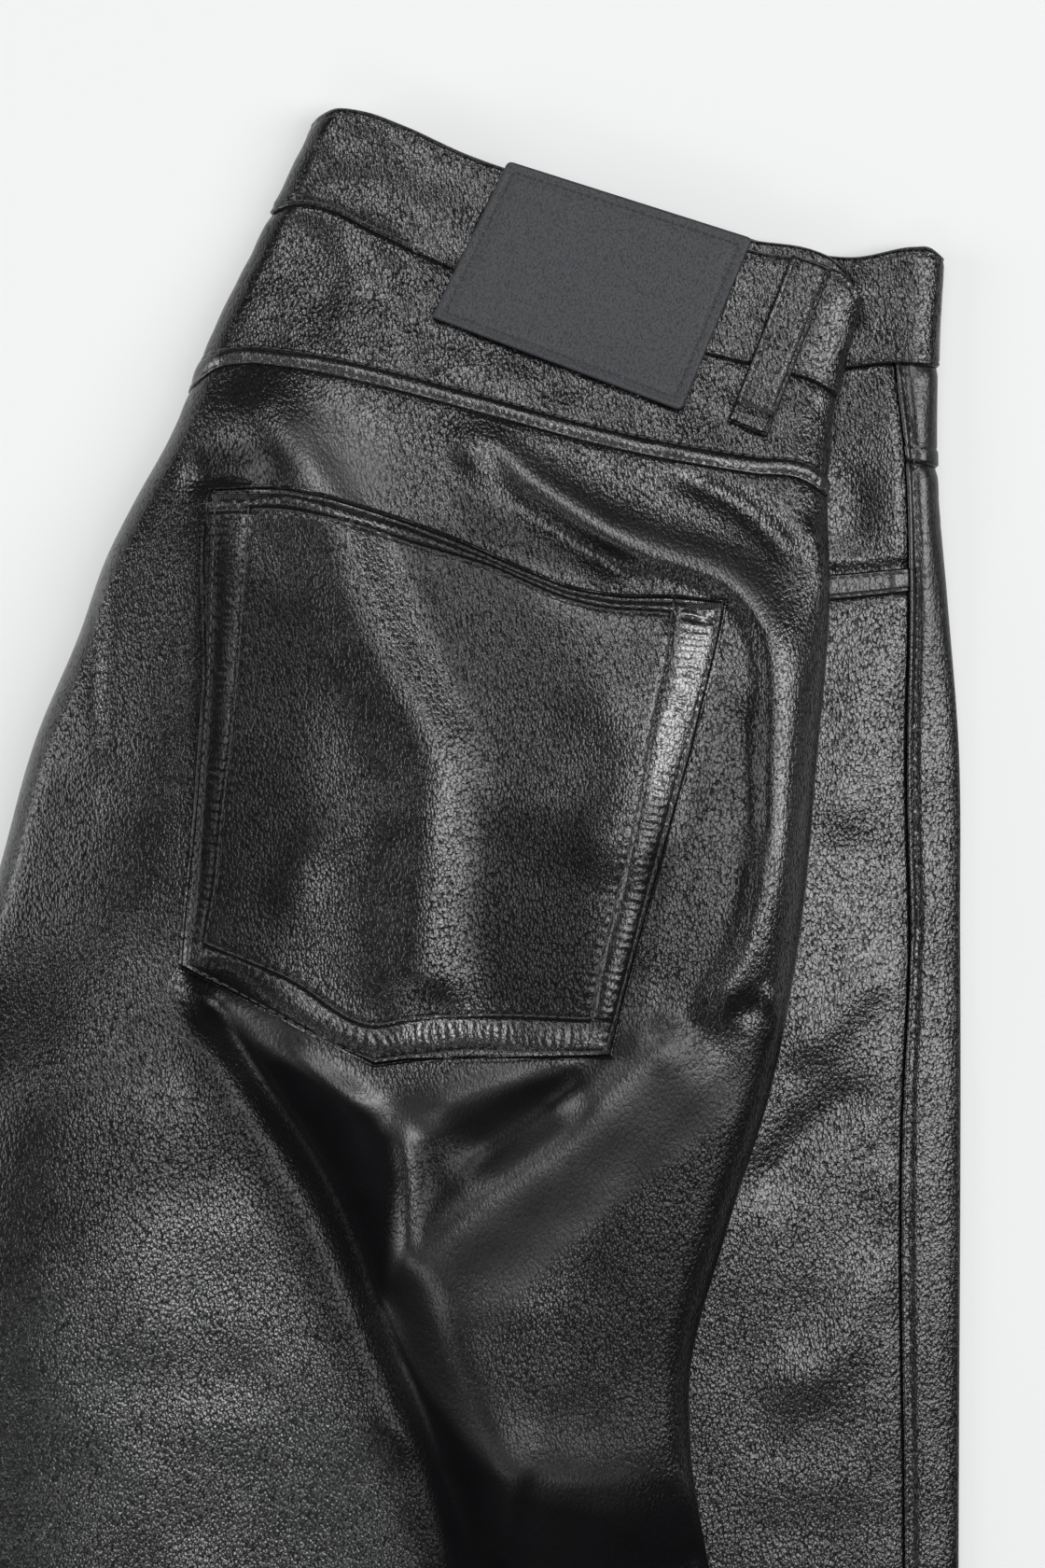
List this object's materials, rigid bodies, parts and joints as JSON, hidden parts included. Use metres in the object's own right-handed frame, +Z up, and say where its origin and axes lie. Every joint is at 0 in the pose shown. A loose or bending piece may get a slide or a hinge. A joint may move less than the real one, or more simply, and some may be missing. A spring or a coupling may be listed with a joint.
{
  "type": "folded leather trousers",
  "caption": "Black leather five-pocket trousers, folded in half lengthwise with the seat outwards and lying flat.",
  "frame": {"origin": "centre of the bounding box, at the floor that the folded trousers lie on", "axes": "+X across the garment from the back fold to the side seams, +Y along the legs towards the waist, +Z up"},
  "size_m": [0.3331, 1.1012, 0.0525],
  "materials": {
    "leather": "fine-grained black leather with a soft sheen",
    "patch": "matt charcoal leather"
  },
  "bodies": {
    "root": {"back_panel_right": "leather", "back_panel_left": "leather", "front_panel_left": "leather", "hidden_layers_right": "leather", "hidden_layers_left": "leather", "yoke_right": "leather", "yoke_left": "leather", "waistband": "leather", "back_pocket_right": "leather", "pocket_facing_left": "leather", "pocket_mouth_left": "leather", "belt_loop_side": "leather", "hem_right": "leather", "hem_left": "leather", "back_patch": "patch"}
  },
  "joints": []
}
